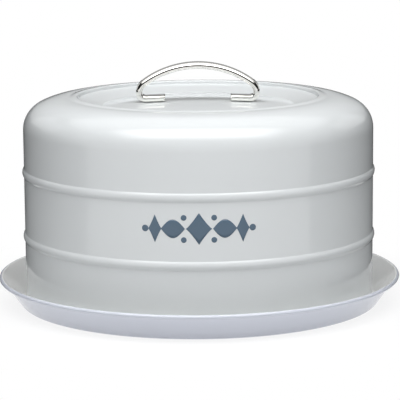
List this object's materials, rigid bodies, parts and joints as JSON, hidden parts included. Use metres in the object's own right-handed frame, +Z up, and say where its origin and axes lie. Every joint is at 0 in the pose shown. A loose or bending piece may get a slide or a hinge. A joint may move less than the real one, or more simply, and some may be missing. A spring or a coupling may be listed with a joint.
{
  "type": "cake dome",
  "caption": "Round pressed-steel cake dome with beaded wall, recessed top and bright bar handle, standing loose in a flared tray with a rolled rim; covers and carries a cake.",
  "frame": {"origin": "centre of the tray's underside, on the surface that the object stands on", "axes": "+Z up along the dome's axis, X along the handle, front of the dome towards -Y"},
  "size_m": [0.285, 0.285, 0.17],
  "materials": {
    "tray_paint": "smooth gloss enamel",
    "dome_paint": "smooth gloss enamel",
    "handle_plating": "bright plated, polished",
    "fastener_steel": "plain zinc-plated steel"
  },
  "bodies": {
    "tray": {"tray": "tray_paint"},
    "dome": {"dome_shell": "dome_paint", "handle": "handle_plating", "handle_screw_left": "fastener_steel", "handle_screw_right": "fastener_steel", "handle_washer_left": "fastener_steel", "handle_washer_right": "fastener_steel"}
  },
  "joints": [
    {"name": "dome_lift", "type": "slide", "parent": "tray", "child": "dome", "axis": [0, 0, 1], "range_m": [0, 0.2]}
  ]
}
